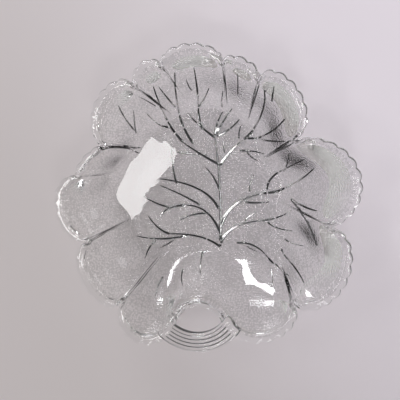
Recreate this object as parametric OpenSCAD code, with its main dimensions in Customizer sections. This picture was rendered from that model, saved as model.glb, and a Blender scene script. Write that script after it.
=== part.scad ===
// Leaf-shaped pressed glass candy dish with a ridged loop handle.
// The leaf's tip points along +Y, the handle along -Y and the open side up.
// The origin is the centre of the dish on the surface it stands on.

/* [Bowl] */
// Overall height, from the resting face to the top of the edge
dish_h = 36; // [30:0.5:45]
// Thickness of the floor, measured at the resting band
floor_t = 3.2; // [2.6:0.1:4.5]
// Thickness of the sloping wall
wall_t = 3; // [2:0.1:4]
// How the wall climbs: 1 is a straight slope, more makes a softer turn at the floor
wall_curve = 1.15; // [1.1:0.05:2]
// Width of the flat band that the dish stands on
band_w = 4; // [3:0.5:6]
// How far the floor inside the band is lifted off the table
lift = 1; // [0.8:0.1:1.4]

/* [Edge] */
// Width of the thick edge, measured across it
rim_w = 4.6; // [3.5:0.1:6]
// Height of the thick edge
rim_h = 3.6; // [2.5:0.1:5]
// How far the thick edge stands out past the wall
rim_proud = 1.2; // [0.5:0.1:2]
// Number of scallops along the whole edge
scallops = 88; // [70:1:120]
// Depth of one scallop
scallop_d = 1.2; // [0.4:0.1:1.6]

/* [Stem end] */
// How far the stem end sits to the left of the leaf's middle
stem_shift = 8; // [0:0.5:10]
// Distance from the leaf's middle to the centre of the stem hollow
hollow_y = 75; // [73:0.5:77]
// Radius of the stem hollow that the handle closes
hollow_r = 14.5; // [12:0.5:16]

/* [Veins] */
// How far the veins stand out of the underside
vein_h = 0.8; // [0.4:0.1:0.8]
// Width of the widest vein at its foot
vein_w = 1.8; // [1.2:0.1:2.4]

/* [Handle] */
// Inner radius of the loop
loop_r = 20; // [18:0.5:22]
// Width of the strap
strap_w = 11.5; // [9:0.5:13]
// Thickness of the strap without its ridges
strap_t = 4.6; // [4:0.1:6]
// Number of ridges along the strap
ridges = 4; // [2:1:5]
// Height of a ridge
ridge_h = 0.7; // [0.4:0.1:1.2]

/* [Hidden] */
$fn = 64;
glass = [0.86, 0.9, 0.9, 0.6];

// Outline: one row for each notch, clockwise from the stem, as
// [angle from the tip, radius at the notch, how far the next lobe bulges, how round it is]
LOBES = [
    [-168, 72, 17, 0.55], [-139, 76, 14, 0.45], [-107, 73, 13.5, 0.55], [-77, 75, 2.5, 0.6],
    [-59, 65, 12, 0.5], [-27, 74.5, 6.5, 0.5], [-13, 78.5, 8.5, 0.5], [12.5, 78.5, 5.5, 0.5],
    [28.5, 76, 12.5, 0.45], [58.5, 64, 20.5, 0.85], [102.5, 71, 16, 0.4], [139.5, 76, 15, 0.55],
    [168, 72, 0, 1], [192, 72, 0, 1]];

// Floor: [angle from the tip, radius]
FLOOR = [[-180, 36], [-142, 43], [-131, 60], [-118, 59], [-105, 56], [-93, 62], [-78, 56], [-59, 50],
         [-35, 47], [0, 46], [30, 40], [59, 31], [86, 37], [105, 35], [125, 46], [141, 57], [154, 43],
         [180, 36]];

// Veins: [start, point it bends towards, end, width as a share of vein_w]
stem = [-1, -34];
VEINS = [
    // midrib and the tip lobe
    [stem, [3, 0], [1, 30], 1], [[1, 30], [-9, 34], [-15, 48], 0.8], [[-7, 39], [-9, 46], [-7, 52], 0.7],
    [[-7, 47], [-4, 53], [1, 56], 0.7], [[1, 31], [1, 38], [8, 46], 0.8], [[2, 32], [7, 43], [18, 49], 0.8],
    [[2, 31], [7, 39], [17, 40], 0.8],
    // upper right
    [[3, 14], [7, 23], [21, 32], 0.9], [[21, 32], [30, 38], [31, 50], 0.8], [[19, 30], [33, 29], [40, 36], 0.8],
    [[30, 29], [35, 25], [41, 26], 0.7], [[17, 29], [16, 32], [18, 36], 0.6], [[12, 23], [22, 24], [30, 20], 0.7],
    [[18, 22], [21, 18], [26, 17], 0.6],
    // upper left
    [[3, 14], [-5, 23], [-19, 30], 0.9], [[-19, 30], [-26, 38], [-30, 48], 0.8], [[-11, 27], [-18, 37], [-19, 50], 0.8],
    [[-22, 44], [-23, 49], [-26, 54], 0.7], [[-23, 37], [-29, 41], [-37, 43], 0.7],
    // right
    [[0, -23], [6, -6], [27, -3], 1], [[27, -3], [44, -2], [55, 10], 0.9], [[29, -1], [30, 9], [50, 15], 0.8],
    [[40, 10], [42, 13], [42, 19], 0.6], [[16, -8], [23, -9], [30, -8], 0.7], [[19, -2], [19, 3], [22, 8], 0.6],
    [stem, [3, -20], [25, -19], 0.9], [[25, -19], [35, -18], [43, -13], 0.7], [[15, -19], [17, -16], [22, -14], 0.6],
    [[28, -20], [34, -25], [43, -25], 0.7], [[38, -30], [42, -34], [48, -34], 0.6], [[43, -7], [50, -13], [55, -14], 0.8],
    [[43, -7], [50, -17], [54, -34], 0.9],
    // left
    [[0, -12], [-5, 3], [-34, 7], 0.9], [[-24, 4], [-26, 12], [-25, 26], 0.7], [[1, 0], [-1, 8], [-6, 13], 0.7],
    [[0, -27], [-5, -9], [-20, -9], 0.9], [[-20, -9], [-32, -9], [-36, -16], 0.8], [[-8, -14], [-17, -14], [-24, -18], 0.7],
    [[-11, -9], [-22, -2], [-34, 3], 0.7], [[-30, -10], [-38, -8], [-45, -3], 0.7],
    [stem, [-10, -26], [-31, -26], 0.9], [[-31, -26], [-38, -24], [-43, -15], 0.8], [[-20, -27], [-37, -31], [-51, -27], 0.8],
    // beside the stem
    [[9, -32], [20, -31], [27, -41], 0.8], [[27, -41], [32, -47], [38, -52], 0.7], [[-40, -30], [-45, -34], [-48, -42], 0.7]];

steps = 180;            // points round the floor and the wall
rim_steps = 720;        // points round the edge
vein_steps = 8;         // straight pieces in a vein
vein_gap = 0.3;         // room between a vein and the resting band
wall_rings = [0, 0.04, 0.1, 0.2, 0.35, 0.5, 0.65, 0.8, 0.92, 1];
wall_top = dish_h - rim_h;
shift_from = 118;       // angle at which the stem end's shift begins
even_from = 150;        // angle from which the edge has an even width
notch_share = 0.5;      // width of the edge at a notch, as a share of its full width
loop_y = -55.5;         // centre of the loop's arc
loop_half = 58;         // half the arc that the strap covers, before the bowl cuts it
loop_x = -10;           // the loop's centre lies a little left of the stem hollow
strap_edge = 1.4;       // rounding of the strap's corners
leaf_reach = 200;       // larger than the leaf

function ease(u) = (1 - cos(180 * min(1, max(0, u)))) / 2;
function shift(a) = -stem_shift * ease((abs(a) - shift_from) / (180 - shift_from) * 1.2);
function place(r, a) = [r * sin(a) + shift(a), r * cos(a)];

// Radius of the leaf at angle a, without its scallops
function lobe_r(a, p, q) = let (u = (a - p[0]) / (q[0] - p[0]))
    p[1] + (q[1] - p[1]) * u + p[2] * pow(max(0, 1 - pow(2 * u - 1, 2)), p[3]);
function lobe_at(a, i = 0) = a < LOBES[i + 1][0] || i == len(LOBES) - 2
    ? lobe_r(a, LOBES[i], LOBES[i + 1]) : lobe_at(a, i + 1);
function hollow(a) = let (off = hollow_y * sin(180 - a)) abs(off) < hollow_r && abs(a) > 90
    ? hollow_y * cos(180 - a) - sqrt(hollow_r * hollow_r - off * off) : leaf_reach;
function full_circle(a) = a > 180 ? a - 360 : a < -180 ? a + 360 : a;
function leaf_r(a) = min(lobe_at(a < LOBES[0][0] ? a + 360 : a), hollow(a)) - scallop_d;

// Radius at angle a of the line inside the outline: round the stem hollow it keeps the distance w,
// and elsewhere it runs more smoothly than the outline, so the edge is narrower at the notches
function true_inset(a, w) = min([for (d = [-5 : 0.5 : 5]) let (r = leaf_r(full_circle(a + d)), off = r * sin(d))
    abs(off) < w ? r * cos(d) - sqrt(w * w - off * off) : leaf_reach]);
function mean_r(a) = let (near = [for (d = [-4 : 4]) leaf_r(full_circle(a + d))]) near * [for (r = near) 1 / len(near)];
function inset_r(a, w) = abs(a) > even_from ? true_inset(a, w) : min(mean_r(a) - w, true_inset(a, notch_share * w));

// Radius of the floor at angle a
function floor_at(a, i = 0) = let (p = FLOOR[i], q = FLOOR[i + 1]) a <= q[0] || i == len(FLOOR) - 2
    ? p[1] + (q[1] - p[1]) * ease((a - p[0]) / (q[0] - p[0])) : floor_at(a, i + 1);
function floor_r(a) = floor_at(a);

function angles(n) = [for (k = [0 : n - 1]) k * 360 / n - 180];
function floor_line(inset) = [for (a = angles(steps)) place(floor_r(a) - inset, a)];
function inner_line(w) = [for (a = angles(rim_steps / 2)) place(inset_r(a, w), a)];

// The scallops are spaced evenly along the edge, so their phase follows its length
function gap_after(line, i) = norm(line[(i + 1) % len(line)] - line[i]);
function lengths(line) = [for (i = 0, s = 0; i < len(line); s = s + gap_after(line, i), i = i + 1) s];
function scalloped_line() = let (all = angles(rim_steps), line = [for (a = all) place(leaf_r(a), a)],
        s = lengths(line), last = rim_steps - 1, pitch = (s[last] + gap_after(line, last)) / scallops)
    [for (i = [0 : last]) place(leaf_r(all[i]) + scallop_d * abs(sin(180 * s[i] / pitch)), all[i])];

// Wall: share s runs from 0 at the floor to 1 under the edge
wall_foot = [for (a = angles(steps)) floor_r(a)];
wall_head = [for (a = angles(steps)) inset_r(a, rim_proud)];
wall_mouth = [for (a = angles(steps)) inset_r(a, rim_proud + wall_t)];
function wall_slope(k, s) = atan(wall_curve * wall_top / (wall_head[k] - wall_foot[k]) * pow(s, wall_curve - 1));
function wall_out(k, s) = concat(place(wall_foot[k] + (wall_head[k] - wall_foot[k]) * s, angles(steps)[k]),
                                 wall_top * pow(s, wall_curve));
function wall_in(k, s) = let (slope = s == 0 ? 0 : wall_slope(k, s), top = pow(s, 4),
        r = wall_foot[k] + (wall_head[k] - wall_foot[k]) * s - wall_t * sin(slope))
    concat(place(r * (1 - top) + wall_mouth[k] * top, angles(steps)[k]),
           wall_top * pow(s, wall_curve) + (wall_t * cos(slope) + (floor_t - wall_t) * (1 - s)) * (1 - top));

// A vein as a tapered strip along its curve
function on_curve(v, t) = v[0] * (1 - t) * (1 - t) + v[1] * 2 * t * (1 - t) + v[2] * t * t;
function across(v, t) = let (d = (v[1] - v[0]) * (1 - t) + (v[2] - v[1]) * t) [-d[1], d[0]] / norm(d);
function half_width(v, t) = vein_w * v[3] * (0.5 - 0.3 * t);
function vein_side(v, side) = [for (k = [0 : vein_steps]) let (t = k / vein_steps)
    on_curve(v, t) + side * half_width(v, t) * across(v, t)];
function backwards(list) = [for (i = [len(list) - 1 : -1 : 0]) list[i]];

// A quarter of a round corner of the strap, about [x, y]
function round_corner(x, y, from) = [for (a = [0 : 22.5 : 90])
    [x, y] + strap_edge * [cos(from + a), sin(from + a)]];

module leaf_floor() {
    color(glass) difference() {
        linear_extrude(floor_t) polygon(floor_line(0));
        translate([0, 0, -1]) linear_extrude(1 + lift) polygon(floor_line(band_w));
    }
}

module leaf_wall() {
    loops = 2 * len(wall_rings);
    outer = [for (s = wall_rings, k = [0 : steps - 1]) wall_out(k, s)];
    inner = [for (s = backwards(wall_rings), k = [0 : steps - 1]) wall_in(k, s)];
    color(glass) polyhedron(
        points = concat(outer, inner),
        faces = [for (j = [0 : loops - 1], k = [0 : steps - 1], upper = [false, true])
            let (a = j * steps + k, b = j * steps + (k + 1) % steps,
                 c = (j + 1) % loops * steps + (k + 1) % steps, d = (j + 1) % loops * steps + k)
            upper ? [a, c, d] : [a, b, c]]);
}

module scalloped_rim() {
    color(glass) translate([0, 0, wall_top]) linear_extrude(rim_h) difference() {
        polygon(scalloped_line());
        polygon(inner_line(rim_w));
    }
}

module floor_veins() {
    color(glass) translate([0, 0, lift - vein_h]) linear_extrude(vein_h) intersection() {
        for (v = VEINS) polygon(concat(vein_side(v, 1), backwards(vein_side(v, -1))));
        polygon(floor_line(band_w + vein_gap));
    }
}

module strap_section() {
    pitch = (strap_w - 2 * strap_edge) / ridges;
    right = strap_w - strap_edge;
    top = strap_t - strap_edge;
    ridge_line = [for (k = [ridges - 1 : -1 : 0], p = [[0.8, 0], [0.7, ridge_h], [0.3, ridge_h], [0.2, 0]])
        [strap_edge + pitch * (k + p[0]), strap_t + p[1]]];
    polygon(concat(round_corner(strap_edge, strap_edge, 180), round_corner(right, strap_edge, 270),
                   round_corner(right, top, 0), ridge_line, round_corner(strap_edge, top, 90)));
}

module loop_handle() {
    color(glass) difference() {
        translate([loop_x, loop_y, dish_h - strap_t - ridge_h]) rotate(-90 - loop_half)
            rotate_extrude(angle = 2 * loop_half) translate([loop_r, 0]) strap_section();
        linear_extrude(dish_h + 1) polygon(scalloped_line());
    }
}

leaf_floor();
leaf_wall();
scalloped_rim();
floor_veins();
loop_handle();
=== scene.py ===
"""Leaf-shaped pressed glass candy dish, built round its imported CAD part.

The dish is one pressing of clear glass: a smooth bowl with ribs and a fine grain pressed into its
underside, a scalloped edge and a ridged loop handle. All lengths in the tables are millimetres.
"""

import math

import bpy
import numpy as np
from bpy.props import FloatProperty, FloatVectorProperty, PointerProperty
from mathutils import Matrix, Vector


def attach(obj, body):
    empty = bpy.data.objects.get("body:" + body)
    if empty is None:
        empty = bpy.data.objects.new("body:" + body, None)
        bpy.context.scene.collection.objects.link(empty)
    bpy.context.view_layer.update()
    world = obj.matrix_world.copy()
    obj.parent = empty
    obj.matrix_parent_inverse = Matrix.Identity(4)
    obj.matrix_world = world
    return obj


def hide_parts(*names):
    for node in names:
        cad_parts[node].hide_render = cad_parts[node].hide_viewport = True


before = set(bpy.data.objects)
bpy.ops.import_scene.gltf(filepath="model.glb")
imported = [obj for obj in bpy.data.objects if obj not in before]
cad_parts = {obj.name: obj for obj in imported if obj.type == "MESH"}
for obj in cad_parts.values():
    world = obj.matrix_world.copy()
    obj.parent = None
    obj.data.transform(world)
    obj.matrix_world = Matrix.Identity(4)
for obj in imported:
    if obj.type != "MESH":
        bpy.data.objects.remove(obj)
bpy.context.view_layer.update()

bl_info = {
    "name": "Leaf Candy Dish",
    "version": (1, 0, 0),
    "blender": (4, 5, 0),
    "location": "View3D > Sidebar > Candy Dish",
    "description": "Builds a clear pressed glass leaf dish with its studio",
    "category": "Object",
}

MM = 0.001

# ---------------------------------------------------------------- the leaf's shape, in millimetres

DISH_H, FLOOR_T, WALL_T, WALL_CURVE = 36.0, 3.2, 3.0, 1.06
BAND_W, LIFT = 4.0, 1.0
RIM_W, RIM_H, RIM_PROUD = 4.6, 3.6, 1.2
SCALLOPS, SCALLOP_D = 88, 1.2
STEM_SHIFT, SHIFT_FROM = 8.0, 118.0
HOLLOW_Y, HOLLOW_R = 75.0, 14.5
EVEN_FROM, NOTCH_SHARE = 150.0, 0.5
WALL_TOP = DISH_H - RIM_H
RECESS_FADE = 6.0           # width over which the lifted floor comes down to the resting band

LINE_STEP = 0.25            # degrees between the points of the wall's lines
HEAD_SOFT = 20              # steps over which the wall's upper line is evened out, to each side
CALM_REACH = 9              # degrees to each side from which the calm line takes its smallest radius
CALM_SOFT = 24              # steps over which the calm line is evened out, three times
FLARE = 5.5                 # the lobes leave the calm line with this power of the climb
FOOT_SOFT = 12              # steps over which the wall's foot is evened out, to each side
BEND = 0.15                 # how softly the wall turns up from the floor, as a share of its run

VEIN_W, VEIN_H = 1.8, 0.8   # widest foot and greatest height
VEIN_TAPER = 0.56           # share of its width that a vein loses towards its tip
VEIN_STEEP = 1.0            # a vein's height as a share of half its width
VEIN_BURY, GROOVE_BURY = 0.45, 0.5
GROOVE_D = 0.7
NOSE = 1.0                  # length over which a vein's start rises, and half that of its tip
BLUNT = 0.15                # how far past its ends a vein would come down to nothing
VEIN_LEAN = (0.27, 0.24)    # how far a vein moves over for each millimetre that the wall lifts it
LEAST_LIFT = 0.4            # where the floor is lower than this, a vein turns into a groove
VEIN_ROOM = 0.1             # least height of a vein above the table

LOOP = (-10.0, -55.5)
LOOP_R, LOOP_HALF = 20.0, 66
STRAP_W, STRAP_T, STRAP_CORNER = 11.5, 4.6, 1.4
RIDGES, RIDGE_H, RIDGE_POWER = 4, 0.7, 0.8
STRAP_STOP = 2.9            # the strap ends this far inside the leaf's edge
PLUG_LOW, PLUG_HIGH = 20.0, 40.0
SHARP_ANGLE = 38            # degrees between two faces from which their edge is drawn sharp

# [angle from the tip, radius at the notch, how far the next lobe bulges, how round it is]
LOBES = [
    (-168, 72, 17, 0.55), (-139, 76, 14, 0.45), (-107, 73, 13.5, 0.55), (-77, 75, 2.5, 0.6),
    (-59, 65, 12, 0.5), (-27, 74.5, 6.5, 0.5), (-13, 78.5, 8.5, 0.5), (12.5, 78.5, 5.5, 0.5),
    (28.5, 76, 12.5, 0.45), (58.5, 64, 20.5, 0.85), (102.5, 71, 16, 0.4), (139.5, 76, 15, 0.55),
    (168, 72, 0, 1), (192, 72, 0, 1),
]
# Floor: [angle from the tip, radius]
FLOOR = [
    (-180, 36), (-142, 43), (-131, 60), (-118, 59), (-105, 56), (-93, 62), (-78, 56), (-59, 50), (-35, 47),
    (0, 46), (30, 40), (59, 31), (86, 37), (105, 35), (125, 46), (141, 57), (154, 43), (180, 36),
]
STEM = (-1, -34)
# Veins: start, the point they bend towards, end, width as a share of VEIN_W
VEINS = [
    # midrib and the tip lobe
    (STEM, (3, 0), (1, 30), 1), ((1, 30), (-7, 36), (-14, 45), 0.8),
    ((-6, 35), (-8, 42), (-7, 54), 0.9), ((-7, 54), (-7, 60), (-8, 67), 0.7),
    ((-7, 49), (-3, 53), (0, 58), 0.7), ((-10, 57), (-12, 58), (-13, 62), 0.5),
    ((1, 31), (2, 38), (7, 45), 0.8), ((2, 32), (6, 39), (13, 47), 0.8),
    ((2, 31), (10, 33), (17, 41), 0.8), ((7, 48), (7, 52), (8, 56), 0.6),
    ((16, 53), (16, 57), (16, 62), 0.5),
    # upper right
    ((3, 14), (7, 20), (17, 28), 0.9), ((17, 28), (32, 38), (30, 53), 0.9),
    ((20, 29), (33, 28), (40, 37), 0.8), ((29, 28), (34, 26), (40, 25), 0.7),
    ((15, 29), (15, 33), (17, 37), 0.6), ((15, 22), (22, 22), (30, 20), 0.7),
    ((19, 21), (21, 18), (25, 16), 0.6), ((6, 21), (5, 26), (7, 30), 0.5),
    ((34, 47), (34, 50), (35, 54), 0.5),
    # upper left
    ((3, 14), (-8, 20), (-18, 28), 0.9), ((-18, 28), (-28, 40), (-32, 58), 0.9),
    ((-12, 27), (-22, 42), (-19, 65), 0.9), ((-21, 49), (-25, 53), (-29, 58), 0.7),
    ((-26, 37), (-33, 39), (-38, 45), 0.7), ((-32, 49), (-36, 51), (-41, 53), 0.5),
    ((-22, 22), (-12, 21), (-4, 20), 0.6),
    # right
    ((0, -23), (6, -6), (27, -3), 1), ((27, -3), (44, -2), (55, 10), 0.9),
    ((29, -1), (30, 9), (50, 15), 0.8), ((40, 10), (42, 13), (42, 19), 0.6),
    ((16, -8), (23, -9), (30, -8), 0.7), ((19, -2), (19, 3), (22, 8), 0.6),
    (STEM, (3, -20), (25, -19), 0.9), ((25, -19), (35, -18), (43, -13), 0.7),
    ((15, -19), (17, -16), (22, -14), 0.6), ((28, -20), (34, -25), (43, -25), 0.7),
    ((38, -30), (42, -34), (48, -34), 0.6), ((43, -7), (50, -13), (55, -14), 0.8),
    ((43, -7), (50, -17), (54, -34), 0.9),
    # left
    ((0, -12), (-5, 3), (-34, 7), 0.9), ((-24, 4), (-26, 12), (-25, 26), 0.7),
    ((1, 0), (-1, 8), (-6, 13), 0.7), ((0, -27), (-5, -9), (-20, -9), 0.9),
    ((-20, -9), (-32, -9), (-36, -16), 0.8), ((-8, -14), (-17, -14), (-24, -18), 0.7),
    ((-11, -9), (-22, -2), (-34, 3), 0.7), ((-30, -10), (-38, -8), (-45, -3), 0.7),
    (STEM, (-10, -26), (-31, -26), 0.9), ((-31, -26), (-38, -24), (-43, -15), 0.8),
    ((-20, -27), (-37, -31), (-51, -27), 0.8),
    # beside the stem
    ((9, -32), (20, -31), (27, -41), 0.8), ((27, -41), (32, -47), (38, -52), 0.7),
    ((-40, -30), (-45, -34), (-48, -42), 0.7),
    # on the wall
    ((-11, -37), (-14, -44), (-14, -51), 0.7), ((-24, -48), (-26, -52), (-25, -57), 0.7),
    ((-37, -52), (-41, -57), (-42, -63), 0.7), ((28, -48), (29, -53), (27, -58), 0.7),
    ((35, -36), (42, -45), (45, -55), 0.8), ((-46, 35), (-51, 41), (-53, 48), 0.6),
    ((-46, 34), (-46, 39), (-45, 46), 0.6), ((-53, 27), (-49, 24), (-44, 23), 0.6),
]

PER_SCALLOP = 10
AROUND = SCALLOPS * PER_SCALLOP
WALL_STEPS = 26


def ease(u):
    """A soft step from 0 to 1 as u goes from 0 to 1."""
    return (1 - np.cos(np.pi * np.clip(u, 0, 1))) / 2


def shift(a):
    """How far the stem end is moved sideways at angle a."""
    return -STEM_SHIFT * ease((np.abs(a) - SHIFT_FROM) / (180 - SHIFT_FROM) * 1.2)


def place(r, a):
    """Plan position of radius r at angle a from the tip."""
    t = np.radians(a)
    return np.stack([r * np.sin(t) + shift(a), r * np.cos(t)], axis=-1)


def leaf_radius(a):
    """Radius of the leaf at angle a, at the bottom of its scallops."""
    a = (np.asarray(a, float) + 180) % 360 - 180
    turned = np.where(a < LOBES[0][0], a + 360, a)
    r = np.zeros_like(turned)
    for p, q in zip(LOBES[:-1], LOBES[1:]):
        u = (turned - p[0]) / (q[0] - p[0])
        lobe = p[1] + (q[1] - p[1]) * u + p[2] * np.maximum(0, 1 - (2 * u - 1) ** 2) ** p[3]
        r = np.where((u >= 0) & (u <= 1), lobe, r)
    t = np.radians(180 - a)
    off = HOLLOW_Y * np.sin(t)
    inside = (np.abs(off) < HOLLOW_R) & (np.abs(a) > 90)
    hollow = HOLLOW_Y * np.cos(t) - np.sqrt(np.maximum(HOLLOW_R ** 2 - off ** 2, 0))
    return np.where(inside, np.minimum(r, hollow), r) - SCALLOP_D


def inset(a, w):
    """Radius of the line that runs the distance w inside the leaf's edge, narrower at the notches."""
    def kept(width):
        best = np.full_like(a, 1e3)
        for d in np.arange(-6, 6.01, 0.25):
            r = leaf_radius(a + d)
            off = r * math.sin(math.radians(d))
            near = r * math.cos(math.radians(d)) - np.sqrt(np.maximum(width ** 2 - off ** 2, 0))
            best = np.where(np.abs(off) < width, np.minimum(best, near), best)
        return best
    mean = sum(leaf_radius(a + d) for d in np.arange(-4, 4.01, 0.5)) / 17
    smooth = np.minimum(mean - w, kept(NOTCH_SHARE * w))
    even = ease((np.abs(a) - EVEN_FROM + 4) / 8)
    return smooth * (1 - even) + kept(w) * even


def floor_radius(a):
    """Radius of the wall's foot at angle a from the tip."""
    b = (np.asarray(a, float) + 180) % 360 - 180
    r = np.full_like(b, FLOOR[0][1])
    for p, q in zip(FLOOR[:-1], FLOOR[1:]):
        inside = (b >= p[0]) & (b <= q[0])
        r = np.where(inside, p[1] + (q[1] - p[1]) * ease((b - p[0]) / (q[0] - p[0])), r)
    return r


def around_mean(values, reach):
    """The mean of a closed line of values over reach steps to each side."""
    return np.mean([np.roll(values, k) for k in range(-reach, reach + 1)], axis=0)


def wall_lines():
    """Angles, the wall's foot, its lobed upper line and the calm line that joins its notches."""
    a = np.arange(-180, 180, LINE_STEP)
    head = around_mean(inset(a, RIM_PROUD + 0.3), HEAD_SOFT)
    head = np.minimum(head, inset(a, RIM_PROUD))
    reach = round(CALM_REACH / LINE_STEP)
    low = np.min([np.roll(head, k) for k in range(-reach, reach + 1, 2)], axis=0)
    for _ in range(3):
        low = around_mean(low, CALM_SOFT)
    return a, around_mean(floor_radius(a), FOOT_SOFT), head, np.minimum(low, head - 0.5)


def along(a, lines, k):
    """Line k of wall_lines at angles a."""
    turned = (np.asarray(a, float) + 180) % 360 - 180
    return np.interp(turned, np.append(lines[0], 180), np.append(lines[k], lines[k][0]))


def climb(s):
    """Height of the wall's outside at share s of its run, and how fast it rises there."""
    bent = np.sqrt(s * s + BEND * BEND)
    whole = math.sqrt(1 + BEND * BEND) - BEND
    straight, rate = (bent - BEND) / whole, s / bent / whole
    return WALL_TOP * straight ** WALL_CURVE, WALL_TOP * WALL_CURVE * straight ** (WALL_CURVE - 1) * rate


def wall_radius(s, foot, head, calm):
    """Plan radius of the wall's outside at share s of its climb: the lobes flare out towards the edge."""
    return foot + (calm - foot) * s + (head - calm) * s ** FLARE


class Leaf:
    """The lines that every ring of the dish is made from, at evenly spaced steps along the edge."""

    def __init__(self):
        fine = np.linspace(-180, 180, 5761)
        line = place(leaf_radius(fine), fine)
        length = np.concatenate([[0], np.cumsum(np.linalg.norm(np.diff(line, axis=0), axis=1))])
        self.a = np.interp(np.arange(AROUND) * length[-1] / AROUND, length, fine)
        self.phase = np.arange(AROUND) / PER_SCALLOP
        self.edge = leaf_radius(self.a)
        self.scallop = SCALLOP_D * np.abs(np.sin(np.pi * self.phase))
        self.inner = inset(self.a, RIM_W)
        self.lines = wall_lines()
        self.foot, self.head, self.calm = (along(self.a, self.lines, k) for k in (1, 2, 3))
        self.mouth = np.minimum(self.head - WALL_T * 0.8, self.inner + 0.1)

    def ring(self, r, z):
        """A closed line round the leaf at radius r and height z."""
        return np.column_stack([place(r, self.a), np.broadcast_to(z, self.a.shape)])

    def wall_out(self, s):
        """Radius and height of the wall's outside at share s of its climb."""
        return wall_radius(s, self.foot, self.head, self.calm), climb(s)[0]

    def wall_in(self, s):
        """Radius and height of the wall's inside, a wall's thickness in from wall_out."""
        r, z = self.wall_out(s)
        step = 0.01
        run = (wall_radius(s + step, self.foot, self.head, self.calm) - r) / step
        slope = np.arctan2(climb(s)[1] if s else 0, np.maximum(run, 1))
        top = s ** 4
        inner = r - WALL_T * np.sin(slope)
        z = z + (WALL_T * np.cos(slope) + (FLOOR_T - WALL_T) * (1 - s)) * (1 - top)
        return inner * (1 - top) + self.mouth * top, z


# [share of the edge's width from its inner to its outer line, height below the top]
RIM_PROFILE = [
    (0.86, RIM_H - 0.02), (0.94, RIM_H - 0.25), (0.985, RIM_H - 0.8), (1, RIM_H - 1.5),
    (0.99, 1.2), (0.96, 0.65), (0.9, 0.28), (0.8, 0.08), (0.66, 0), (0.5, 0.0),
    (0.34, 0.06), (0.2, 0.2), (0.09, 0.5), (0.02, 1.0), (0, 1.7), (0, 2.6),
]


def dish_rings(leaf):
    """Rings from under the floor out over the edge and back to the floor inside, each with its part."""
    rings = []
    recess = leaf.foot - BAND_W
    for k in range(11):
        rings.append((leaf.ring(recess - RECESS_FADE * (1 - k / 10), LIFT * (1 - ease(k / 10))), "floor"))
    for across in (0.4, 0.8):
        rings.append((leaf.ring(leaf.foot - BAND_W * (1 - across), 0), "floor"))
    for k in range(WALL_STEPS + 1):
        s = (k / WALL_STEPS) ** 1.25
        rings.append((leaf.ring(*leaf.wall_out(s)), "wall"))
    for share, down in RIM_PROFILE:
        r = leaf.inner + (leaf.edge - leaf.inner) * share + leaf.scallop * max(0, share) ** 2
        rings.append((leaf.ring(r, DISH_H - down), "rim"))
    for k in range(WALL_STEPS, -1, -1):
        s = 0.985 * (k / WALL_STEPS) ** 1.25
        rings.append((leaf.ring(*leaf.wall_in(s)), "wall_in"))
    rings.append((leaf.ring(leaf.foot - 0.5, FLOOR_T), "floor_in"))
    return rings


PARTS = ["floor", "wall", "rim", "handle", "floor_in", "wall_in", "vein", "groove"]


def polar_mesh(name, rings):
    """A closed mesh from rings of equal count, with a flat face at each end."""
    n = len(rings[0][0])
    co = np.vstack([r for r, _ in rings]) * MM
    k = np.arange(n)
    after = (k + 1) % n
    quads, part = [], []
    for j in range(len(rings) - 1):
        quads.append(np.column_stack([j * n + k, j * n + after, (j + 1) * n + after, (j + 1) * n + k]))
        part += [PARTS.index(rings[j + 1][1])] * n
    quads = np.vstack(quads).tolist()
    last = (len(rings) - 1) * n
    ends = [tuple(range(n - 1, -1, -1)), tuple(range(last, last + n))]
    part += [PARTS.index(rings[0][1]), PARTS.index(rings[-1][1])]
    mesh = bpy.data.meshes.new(name)
    mesh.from_pydata(co.tolist(), [], quads + ends)
    mesh.polygons.foreach_set("material_index", np.array(part, np.int32))
    mesh.update()
    return mesh


def outside_surface(x, y, lines):
    """Height of the dish's outside at plan points, and their distance out past the recess."""
    x, y = np.asarray(x, float), np.asarray(y, float)
    a = np.degrees(np.arctan2(x, y))
    for _ in range(12):
        a = np.degrees(np.arctan2(x - shift(a), y))
    r = np.hypot(x - shift(a), y)
    foot, head, calm = (along(a, lines, k) for k in (1, 2, 3))
    s = np.clip((r - foot) / (head - foot), 0, 1)
    for _ in range(8):
        run = (calm - foot) + (head - calm) * FLARE * s ** (FLARE - 1)
        s = np.clip(s - (wall_radius(s, foot, head, calm) - r) / run, 0, 1)
    recess = foot - BAND_W
    z = np.where(r < foot, LIFT * (1 - ease((r - recess + RECESS_FADE) / RECESS_FADE)), climb(s)[0])
    return z, r - recess


def outward(x, y, lines):
    """Unit normals of the dish's outside over plan points."""
    step = 0.3
    dx = (outside_surface(x + step, y, lines)[0] - outside_surface(x - step, y, lines)[0]) / (2 * step)
    dy = (outside_surface(x, y + step, lines)[0] - outside_surface(x, y - step, lines)[0]) / (2 * step)
    n = np.column_stack([dx, dy, -np.ones_like(dx)])
    return n / np.linalg.norm(n, axis=1)[:, None]


def tube_faces(rows, around):
    """Faces of a closed tube of rows cross-sections with around points each."""
    faces = []
    for j in range(rows - 1):
        for k in range(around):
            here, after = j * around + k, j * around + (k + 1) % around
            faces.append((here, here + around, after + around, after))
    last = (rows - 1) * around
    return faces + [tuple(range(around)), tuple(last + k for k in reversed(range(around)))]


BEAD_STEPS, BEAD_BULGE = 9, 1.15


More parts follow.
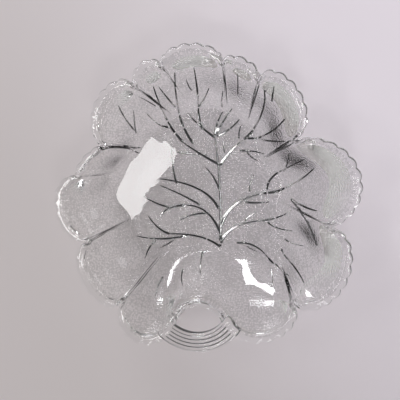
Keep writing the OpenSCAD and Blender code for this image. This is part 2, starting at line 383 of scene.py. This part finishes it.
def swept(name, path, up, half, height, bury):
    """A closed bead along path: half wide to each side, height along up, its foot buried."""
    tangent = np.gradient(path, axis=0)
    side = np.cross(up, tangent)
    side /= np.linalg.norm(side, axis=1)[:, None]
    u = np.linspace(-1, 1, BEAD_STEPS)
    crown = 1 - np.abs(u) ** BEAD_BULGE
    rows = []
    for p, up_k, side_k, w, h in zip(path, up, side, half, height):
        rows.append(np.vstack([p + np.outer(u * w, side_k) + np.outer(crown * h, up_k),
                               p + w * side_k - bury * up_k, p - w * side_k - bury * up_k]))
    co = np.vstack(rows) * MM
    mesh = bpy.data.meshes.new(name)
    mesh.from_pydata(co.tolist(), [], tube_faces(len(path), len(rows[0])))
    mesh.update()
    return mesh


def vein_points(v, count=40):
    """Points along a vein as drawn, and how far along it each is, from 0 to 1."""
    t = np.linspace(0, 1, count)[:, None]
    p0, p1, p2 = (np.array(p, float) for p in v[:3])
    return p0 * (1 - t) ** 2 + p1 * 2 * t * (1 - t) + p2 * t ** 2, t[:, 0]


def vein_beads(v, name, lines):
    """Ribs of one vein on the outside, and the groove that carries it across the resting band."""
    plan, t = vein_points(v)
    drawn = plan.copy()
    for _ in range(6):
        plan = drawn + np.outer(outside_surface(plan[:, 0], plan[:, 1], lines)[0] - LIFT, VEIN_LEAN)
    z, room = outside_surface(plan[:, 0], plan[:, 1], lines)
    up = outward(plan[:, 0], plan[:, 1], lines)
    half = VEIN_W * v[3] * (1 - VEIN_TAPER * t) / 2
    run = np.concatenate([[0], np.cumsum(np.linalg.norm(np.diff(plan, axis=0), axis=1))])
    start = np.clip((run + BLUNT) / NOSE, 0, 1)
    tip = np.clip((run[-1] - run + BLUNT) / (2 * NOSE), 0, 1)
    nose = np.sqrt(start * tip)
    height = np.minimum(VEIN_H, half * VEIN_STEEP) * nose
    half = half * (0.4 + 0.6 * nose)
    ribs, grooves = [], []
    on_floor = (room < 0.1) & (z > LEAST_LIFT)
    on_wall = (room > BAND_W) & (z > VEIN_H * 0.9)
    crossing = (room > -RECESS_FADE) & ~on_floor & ~on_wall
    clear = np.minimum(height, z - VEIN_ROOM)
    for mask, kind in ((on_floor, "rib"), (on_wall, "rib"), (crossing, "groove")):
        k = np.flatnonzero(mask)
        if len(k) < 3 or np.any(np.diff(k) > 1):
            continue
        path = np.column_stack([plan[k], z[k]])
        if kind == "rib":
            ribs.append(swept(f"{name}_{len(ribs)}", path, up[k], half[k], clear[k], VEIN_BURY))
        else:
            band = (room[k] >= 0) & (room[k] <= BAND_W)
            path[:, 2] = np.where(band, 0, z[k])
            down = -up[k]
            down[band] = (0, 0, 1)
            depth = np.minimum(height[k], GROOVE_D)
            grooves.append(swept(f"{name}_cut{len(grooves)}", path, down, half[k], depth, GROOVE_BURY))
    return ribs, grooves


def quarter_round(cx, cy, start):
    """The points of one of the strap's round corners about (cx, cy)."""
    turns = [math.radians(start + 18 * k) for k in range(6)]
    return [(cx + STRAP_CORNER * math.cos(t), cy + STRAP_CORNER * math.sin(t)) for t in turns]


def strap_section():
    """The strap's cross-section with its ridges on top, as a closed line."""
    right, top = STRAP_W - STRAP_CORNER, STRAP_T - STRAP_CORNER
    section = quarter_round(STRAP_CORNER, STRAP_CORNER, 180)
    section += quarter_round(right, STRAP_CORNER, 270)
    section += quarter_round(right, top, 0)
    pitch = (STRAP_W - 2 * STRAP_CORNER) / RIDGES
    for k in reversed(range(RIDGES)):
        for u in np.linspace(1, 0, 9)[:-1 if k else None]:
            rise = RIDGE_H * math.sin(math.pi * u) ** RIDGE_POWER if 0 < u < 1 else 0
            section.append((STRAP_CORNER + pitch * (k + u), STRAP_T + rise))
    section += quarter_round(STRAP_CORNER, top, 90)[1:]
    return [p for k, p in enumerate(section) if math.dist(p, section[k - 1]) > 1e-4]


def strap_mesh():
    """The loop handle's strap, swept round the loop's centre."""
    section = strap_section()
    base = DISH_H - STRAP_T - RIDGE_H
    turns = np.radians(np.linspace(-90 - LOOP_HALF, -90 + LOOP_HALF, 2 * LOOP_HALF + 1))
    n, m = len(section), len(turns)
    co = []
    for t in turns:
        for x, y in section:
            r = LOOP_R + x
            co.append((LOOP[0] + r * math.cos(t), LOOP[1] + r * math.sin(t), base + y))
    mesh = bpy.data.meshes.new("strap")
    mesh.from_pydata((np.array(co) * MM).tolist(), [], tube_faces(m, n))
    set_part(mesh, "handle")
    # the inner face and the valleys between the ridges are steep; they take the veins' nearly black painted
    # shade, in place of the dark that steep glass shows
    for k in range(n):
        (x0, y0), (x1, y1) = section[k], section[(k + 1) % n]
        inner = max(x0, x1) < 0.1
        low = min(y0, y1) > STRAP_T - 0.01 and max(y0, y1) < STRAP_T + 0.75 * RIDGE_H
        if inner or (low and min(x0, x1) > 0.5):
            for j in range(m - 1):
                mesh.polygons[j * n + k].material_index = PARTS.index("groove")
    mesh.update()
    return mesh


def bowl_plug(leaf, w):
    """The room inside the line w from the edge, where the strap may not reach."""
    r = inset(leaf.a, w)
    rings = [(leaf.ring(r, PLUG_LOW), "rim"), (leaf.ring(r, PLUG_HIGH), "rim")]
    return polar_mesh("bowl_plug", rings)


def volume(mesh):
    """The volume inside a closed mesh, below 0 where its faces look inwards."""
    mesh.calc_loop_triangles()
    co = np.zeros(len(mesh.vertices) * 3)
    mesh.vertices.foreach_get("co", co)
    co = co.reshape(-1, 3)
    tri = np.zeros(len(mesh.loop_triangles) * 3, np.int32)
    mesh.loop_triangles.foreach_get("vertices", tri)
    a, b, c = (co[tri.reshape(-1, 3)[:, k]] for k in range(3))
    return float(np.einsum("ij,ij->i", a, np.cross(b, c)).sum() / 6)


def facing_out(mesh):
    """The closed mesh with its faces looking outwards."""
    if volume(mesh) < 0:
        mesh.flip_normals()
    return mesh


def combine(first, second, operation):
    """The Boolean of two closed meshes, as a new mesh."""
    objects = []
    for mesh in (first, second):
        o = bpy.data.objects.new("boolean_" + mesh.name, mesh)
        bpy.context.scene.collection.objects.link(o)
        objects.append(o)
    cut = objects[0].modifiers.new("cut", "BOOLEAN")
    cut.solver = "MANIFOLD"
    cut.operation = operation
    cut.object = objects[1]
    cut.material_mode = "INDEX"
    graph = bpy.context.evaluated_depsgraph_get()
    result = bpy.data.meshes.new_from_object(objects[0].evaluated_get(graph))
    for o in objects:
        bpy.data.objects.remove(o)
    if not len(result.polygons):
        raise RuntimeError(f"{operation} of {first.name} and {second.name} left nothing")
    result.name = first.name
    return result


def set_part(mesh, part):
    """Marks every face of the mesh as this part."""
    mesh.polygons.foreach_set("material_index", np.full(len(mesh.polygons), PARTS.index(part), np.int32))
    return mesh


def shade(mesh, angle):
    """Smooth shading, with sharp edges at steep steps, round every vein and at the handle's joint."""
    mesh.polygons.foreach_set("use_smooth", np.ones(len(mesh.polygons), bool))
    mesh.set_sharp_from_angle(angle=math.radians(angle))
    part = np.zeros(len(mesh.polygons), np.int32)
    mesh.polygons.foreach_get("material_index", part)
    count = np.zeros(len(mesh.polygons), np.int32)
    mesh.polygons.foreach_get("loop_total", count)
    edge = np.zeros(len(mesh.loops), np.int32)
    mesh.loops.foreach_get("edge_index", edge)
    of_strap = np.isin(part, [PARTS.index("handle"), PARTS.index("groove")])
    group = np.repeat(np.where(part == PARTS.index("vein"), 2, of_strap), count)
    low, high = np.full(len(mesh.edges), 9), np.zeros(len(mesh.edges), int)
    np.minimum.at(low, edge, group)
    np.maximum.at(high, edge, group)
    sharp = np.zeros(len(mesh.edges), bool)
    mesh.attributes["sharp_edge"].data.foreach_get("value", sharp)
    mesh.attributes["sharp_edge"].data.foreach_set("value", sharp | (low != high))
    mesh.update()


def pressed_mesh():
    """The whole pressing: shell, veins and handle as one closed skin."""
    leaf = Leaf()
    body = facing_out(polar_mesh("pressed_glass", dish_rings(leaf)))
    ribs, grooves = [], []
    for k, v in enumerate(VEINS):
        more, cuts = vein_beads(v, f"vein_{k}", leaf.lines)
        ribs += more
        grooves += cuts
    for mesh in ribs + grooves:
        set_part(facing_out(mesh), "vein")
    strap = facing_out(strap_mesh())
    plug = set_part(facing_out(bowl_plug(leaf, STRAP_STOP)), "handle")
    strap = combine(strap, plug, "DIFFERENCE")
    body = combine(body, strap, "UNION")
    tree = ribs[0]
    for rib in ribs[1:]:
        tree = combine(tree, rib, "UNION")
    body = combine(body, tree, "UNION")
    if grooves:
        cuts = grooves[0]
        for groove in grooves[1:]:
            cuts = combine(cuts, groove, "UNION")
        body = combine(body, cuts, "DIFFERENCE")
    return body


# ---------------------------------------------------------------- materials


class Sock:
    """A node socket that adds Math nodes when it is used in an expression."""

    def __init__(self, nodes, socket):
        self.nodes, self.socket = nodes, socket

    def _math(self, operation, a, b=None):
        values = {0: a} if b is None else {0: a, 1: b}
        return self.nodes.add("ShaderNodeMath", {"operation": operation}, values)[0]

    def __add__(self, other):
        return self._math("ADD", self, other)

    __radd__ = __add__

    def __mul__(self, other):
        return self._math("MULTIPLY", self, other)

    __rmul__ = __mul__

    def __sub__(self, other):
        return self._math("SUBTRACT", self, other)

    def __rsub__(self, other):
        return self._math("SUBTRACT", other, self)


class Nodes:
    """Adds nodes to one material's tree."""

    def __init__(self, owner):
        owner.use_nodes = True
        self.tree = owner.node_tree
        self.tree.nodes.clear()

    def add(self, kind, settings=None, values=None):
        """A node of this type, its settings set first and then the values or links of its sockets."""
        node = self.tree.nodes.new(kind)
        for name, value in (settings or {}).items():
            setattr(node, name, value)
        for name, value in (values or {}).items():
            if isinstance(value, Sock):
                self.tree.links.new(value.socket, node.inputs[name])
            else:
                node.inputs[name].default_value = value
        return [Sock(self, s) for s in node.outputs]


WAVE_DEPTH = 0.00008        # metres, on the smooth side of the glass
# painted shade: the colour that the grain's deeper cells are darkened towards
GRAIN_PAINTED_SHADE = (0.02, 0.02, 0.02)


def glass_material(name, look, finish):
    """Clear pressed glass. Painted shade darkens the deeper cells of its grain, and the veins, drawn nearly
    black, carry painted shade in place of the dark lines that their steep flanks show.

    The grain's bumps fade where the surface is steep.
    """
    material = bpy.data.materials.new(name)
    nodes = Nodes(material)
    values = {
        "Base Color": (*look.tint, 1),
        "Roughness": 0.0,
        "IOR": look.ior,
        "Transmission Weight": 1.0,
    }
    coordinates = nodes.add("ShaderNodeTexCoord")
    normal, here = coordinates[1], coordinates[3]
    if finish == "grained":
        cells = nodes.add("ShaderNodeTexVoronoi", {"feature": "F1"}, {
            "Vector": here, "Scale": 1 / look.grain_pitch, "Randomness": 0.75})[0]
        patches = nodes.add("ShaderNodeTexNoise", {}, {"Vector": here, "Scale": 70.0, "Detail": 2.0})[0]
        depth = cells * (0.4 + 1.2 * patches)
        facing = nodes.add("ShaderNodeSeparateXYZ", {}, {0: normal})[2]
        level = nodes.add("ShaderNodeMath", {"operation": "ABSOLUTE"}, {0: facing})[0]
        flatness = nodes.add("ShaderNodeMapRange", {"interpolation_type": "SMOOTHSTEP"}, {
            0: level, 1: 0.55, 2: 0.85, 3: 0.15, 4: 1.0})[0]
        values["Normal"] = nodes.add("ShaderNodeBump", {}, {
            "Strength": 1.0, "Distance": look.grain_depth, "Height": depth * flatness})[0]
        # painted shade: the deeper cells of the grain take a darker base colour, standing in for the shade
        # that the stippled glass shows
        shade = nodes.add("ShaderNodeMapRange", {"interpolation_type": "SMOOTHSTEP"}, {
            0: depth, 1: 0.3, 2: 0.65, 3: 0.0, 4: look.grain_painted_shade})[0]
        values["Base Color"] = nodes.add("ShaderNodeMix", {"data_type": "RGBA"}, {
            0: shade, 6: (*look.tint, 1), 7: (*GRAIN_PAINTED_SHADE, 1)})[2]
    elif finish == "vein":
        # painted shade: the veins and the strap's steep faces get a nearly black base colour, so light
        # refracted through them shows dark while reflections stay bright
        values["Base Color"] = (*look.vein_painted_shade, 1)
    else:
        waves = nodes.add("ShaderNodeTexNoise", {}, {"Vector": here, "Scale": 55.0, "Detail": 2.0})[0]
        values["Normal"] = nodes.add("ShaderNodeBump", {}, {
            "Strength": 1.0, "Distance": WAVE_DEPTH, "Height": waves})[0]
    shader = nodes.add("ShaderNodeBsdfPrincipled", {}, values)[0]
    nodes.add("ShaderNodeOutputMaterial", {}, {"Surface": shader})
    return material


def floor_material(look):
    """Pale paper with painted shade towards one side, that glows, painted light in place of the light lost
    in the glass.
    """
    material = bpy.data.materials.new("pale_floor")
    nodes = Nodes(material)
    here = nodes.add("ShaderNodeTexCoord")[3]
    clouds = nodes.add("ShaderNodeTexNoise", {}, {"Vector": here, "Scale": 6.0, "Detail": 3.0})[0]
    across = nodes.add("ShaderNodeVectorMath", {"operation": "DOT_PRODUCT"}, {
        0: here, 1: (1.0, 0.35, 0.0)})[1]
    share = nodes.add("ShaderNodeMapRange", {"interpolation_type": "SMOOTHSTEP"}, {
        0: across + clouds * 0.03, 1: -0.13, 2: 0.19, 3: 0.0, 4: 1.0})[0]
    tone = nodes.add("ShaderNodeMix", {"data_type": "RGBA"}, {
        0: share, 6: (*look.floor_dim, 1), 7: (*look.floor_colour, 1)})[2]
    shader = nodes.add("ShaderNodeBsdfPrincipled", {}, {
        "Base Color": tone,
        "Roughness": 0.75,
        "Emission Color": tone,
        "Emission Strength": look.floor_glow,
    })[0]
    nodes.add("ShaderNodeOutputMaterial", {}, {"Surface": shader})
    return material


# ---------------------------------------------------------------- settings


def colour_setting(name, description, default):
    return FloatVectorProperty(name=name, description=description, subtype="COLOR", size=3, default=default)


class GlassSettings(bpy.types.PropertyGroup):
    tint: colour_setting("Tint", "Colour of the glass", (0.985, 0.99, 0.985))
    ior: FloatProperty(
        name="Index of refraction", description="How strongly the glass bends light", default=1.51)
    # painted shade: the nearly black colour given to the veins and the strap's steep faces
    vein_painted_shade: colour_setting("Vein painted shade", "Colour of the veins' flanks", (0.012, 0.013, 0.013))
    # painted shade: how dark the grain's deeper cells are painted
    grain_painted_shade: FloatProperty(name="Grain painted shade", description="How dark the grains look", default=0.32)
    grain_pitch: FloatProperty(
        name="Grain pitch", description="Distance between the grains of the underside",
        default=0.0011, unit="LENGTH")
    grain_depth: FloatProperty(
        name="Grain depth", description="Height of the grains", default=0.00009, unit="LENGTH")


class StudioSettings(bpy.types.PropertyGroup):
    floor_colour: colour_setting("Floor colour", "Colour of the floor", (0.52, 0.48, 0.52))
    # painted shade on the floor's dim side, and painted light in the floor's glow
    floor_dim: colour_setting(
        "Floor's dim side", "Colour of the floor where less light falls", (0.355, 0.325, 0.325))
    floor_glow: FloatProperty(
        name="Floor glow", description="How much the floor glows by itself", default=0.78)
    walls: FloatProperty(
        name="Walls", description="Brightness of the room's pale walls", default=0.5)
    room: FloatProperty(
        name="Ceiling", description="Brightness of the room overhead", default=0.07)
    lights: FloatProperty(
        name="Lights", description="Share of the soft lights' full brightness", default=1.0)


# the grained and the vein finishes carry painted shade in their base colour
FINISHES = {
    "clear_pressed_glass": "plain",
    "grained_glass_with_painted_shade": "grained",
    "vein_and_strap_painted_shade_glass": "vein",
}


class LEAFDISH_OT_press_glass(bpy.types.Operator):
    """Build the pressed glass dish with its veins, edge and handle"""

    bl_idname = "leafdish.press_glass"
    bl_label = "Press the Glass"

    def execute(self, context):
        look = context.scene.leafdish_glass
        mesh = pressed_mesh()
        index = np.zeros(len(mesh.polygons), np.int32)
        mesh.polygons.foreach_get("material_index", index)
        shade(mesh, SHARP_ANGLE)
        grained = np.isin(index, [PARTS.index("floor"), PARTS.index("wall")])
        # painted shade: the veins and the strap's steep faces take the nearly black glass
        dark = np.isin(index, [PARTS.index("vein"), PARTS.index("groove")])
        finish = grained + 2 * dark
        mesh.materials.clear()
        for name, kind in FINISHES.items():
            mesh.materials.append(glass_material(name, look, kind))
        mesh.polygons.foreach_set("material_index", finish.astype(np.int32))
        dish = bpy.data.objects.new("pressed_glass_dish", mesh)
        context.scene.collection.objects.link(dish)
        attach(dish, "root")
        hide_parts("leaf_floor", "leaf_wall", "scalloped_rim", "floor_veins", "loop_handle")
        return {"FINISHED"}


def soft_light(name, size, at, aim, spin, power, colour):
    """An area light at one place that shines towards another, turned by spin in its own plane."""
    data = bpy.data.lights.new(name, "AREA")
    data.shape = "RECTANGLE"
    data.size, data.size_y = size
    data.energy = power
    data.color = colour
    lamp = bpy.data.objects.new(name, data)
    bpy.context.scene.collection.objects.link(lamp)
    lamp.location = at
    facing = (Vector(aim) - Vector(at)).to_track_quat("-Z", "Y").to_matrix()
    facing = facing @ Matrix.Rotation(math.radians(spin), 3, "Z")
    lamp.rotation_euler = facing.to_euler()
    return lamp


LIGHT_DISTANCE = 1.2
LIGHT_AIM = (0, 0, 0.02)
# name, width and height, degrees right of and above the camera's axis, turn in its own plane,
# brightness, colour
LIGHTS = [
    ("window_light", (0.135, 0.23), -40.7, -23.6, 27, 10.0, (1, 0.99, 0.98)),
    ("crease_light", (0.2, 0.4), -44.0, 8.0, 0, 6.0, (1, 1, 1)),
    ("sky_light", (0.5, 0.3), -50.0, 51.0, 0, 18.0, (0.97, 0.98, 1)),
    ("front_light", (0.2, 0.3), 3.0, -29.0, 0, 10.0, (1, 1, 1)),
    ("side_light", (0.5, 0.7), 68.0, 25.0, 0, 2.0, (0.97, 0.98, 1)),
]


def room_world(look):
    """A room with pale walls low down and a dark ceiling."""
    world = bpy.data.worlds.new("room")
    nodes = Nodes(world)
    here = nodes.add("ShaderNodeTexCoord")[0]
    up = nodes.add("ShaderNodeSeparateXYZ", {}, {0: here})[2]
    share = nodes.add("ShaderNodeMapRange", {"interpolation_type": "SMOOTHSTEP"}, {
        0: up, 1: 0.3, 2: 0.6, 3: 0.0, 4: 1.0})[0]
    walls = [look.walls * c for c in (1, 0.98, 0.97)]
    ceiling = [look.room * c for c in (0.95, 0.97, 1)]
    colour = nodes.add("ShaderNodeMix", {"data_type": "RGBA"}, {
        0: share, 6: (*walls, 1), 7: (*ceiling, 1)})[2]
    background = nodes.add("ShaderNodeBackground", {}, {"Color": colour})[0]
    nodes.add("ShaderNodeOutputWorld", {}, {"Surface": background})
    return world


TILT, TURN, ROLL = 20.0, 42.0, 3.0
CAMERA_DISTANCE, LENS = 0.62, 101.5
AIM = (0, 0, 0.03)
CAMERA_OFF = (-0.00275, 0.000275)       # how far right of and above the aim it looks
FLOOR_HALF, FLOOR_SINK = 3.0, 0.00004


def camera_axes():
    """The camera's right, up and back axes in the dish's frame, as rows."""
    t, a, r = (math.radians(v) for v in (TILT, TURN, ROLL))
    n = Vector((-math.sin(t) * math.cos(a), -math.sin(t) * math.sin(a), math.cos(t)))
    lean = Vector((0, 0, 1)).rotation_difference(n).to_matrix()
    return lean @ Matrix.Rotation(r, 3, "Z")


def light_place(right, up):
    """Where a light stands that is seen at these angles right of and above the camera's axis."""
    axes = camera_axes()
    right, up = math.radians(right), math.radians(up)
    away = axes[0] * math.sin(right) * math.cos(up) + axes[1] * math.sin(up)
    away += axes[2] * math.cos(right) * math.cos(up)
    return Vector(AIM) + away * LIGHT_DISTANCE


class LEAFDISH_OT_set_stage(bpy.types.Operator):
    """Build the floor, the soft lights and the camera"""

    bl_idname = "leafdish.set_stage"
    bl_label = "Set the Stage"

    def execute(self, context):
        scene, look = context.scene, context.scene.leafdish_studio
        corners = [(x * FLOOR_HALF, y * FLOOR_HALF, 0) for x, y in ((-1, -1), (1, -1), (1, 1), (-1, 1))]
        mesh = bpy.data.meshes.new("studio_floor")
        mesh.from_pydata(corners, [], [(0, 1, 2, 3)])
        mesh.materials.append(floor_material(look))
        floor = bpy.data.objects.new("studio_floor", mesh)
        floor.location.z = -FLOOR_SINK
        scene.collection.objects.link(floor)

        scene.world = room_world(look)
        for name, size, right, up, spin, power, colour in LIGHTS:
            watts = power * look.lights * math.pi * size[0] * size[1]
            soft_light(name, size, light_place(right, up), LIGHT_AIM, spin, watts, colour)

        axes = camera_axes()
        data = bpy.data.cameras.new("camera")
        data.lens, data.sensor_width = LENS, 36.0
        data.clip_start, data.clip_end = 0.01, 10.0
        camera = bpy.data.objects.new("camera", data)
        scene.collection.objects.link(camera)
        at = Vector(AIM) + axes[2] * CAMERA_DISTANCE + axes[0] * CAMERA_OFF[0] + axes[1] * CAMERA_OFF[1]
        camera.matrix_world = Matrix.Translation(at) @ axes.transposed().to_4x4()
        scene.camera = camera
        scene.view_settings.view_transform = "Standard"
        return {"FINISHED"}


class LEAFDISH_PT_panel(bpy.types.Panel):
    bl_label = "Candy Dish"
    bl_idname = "LEAFDISH_PT_panel"
    bl_space_type = "VIEW_3D"
    bl_region_type = "UI"
    bl_category = "Candy Dish"

    def draw(self, context):
        for settings in (context.scene.leafdish_glass, context.scene.leafdish_studio):
            for name in settings.bl_rna.properties.keys():
                if name not in ("rna_type", "name"):
                    self.layout.prop(settings, name)
        for operator in (LEAFDISH_OT_press_glass, LEAFDISH_OT_set_stage):
            self.layout.operator(operator.bl_idname)


CLASSES = (GlassSettings, StudioSettings, LEAFDISH_OT_press_glass, LEAFDISH_OT_set_stage, LEAFDISH_PT_panel)


def register():
    for cls in CLASSES:
        bpy.utils.register_class(cls)
    bpy.types.Scene.leafdish_glass = PointerProperty(type=GlassSettings)
    bpy.types.Scene.leafdish_studio = PointerProperty(type=StudioSettings)


def unregister():
    del bpy.types.Scene.leafdish_studio
    del bpy.types.Scene.leafdish_glass
    for cls in reversed(CLASSES):
        bpy.utils.unregister_class(cls)


def main():
    register()
    bpy.ops.leafdish.press_glass()
    bpy.ops.leafdish.set_stage()


if __name__ == "__main__":
    main()
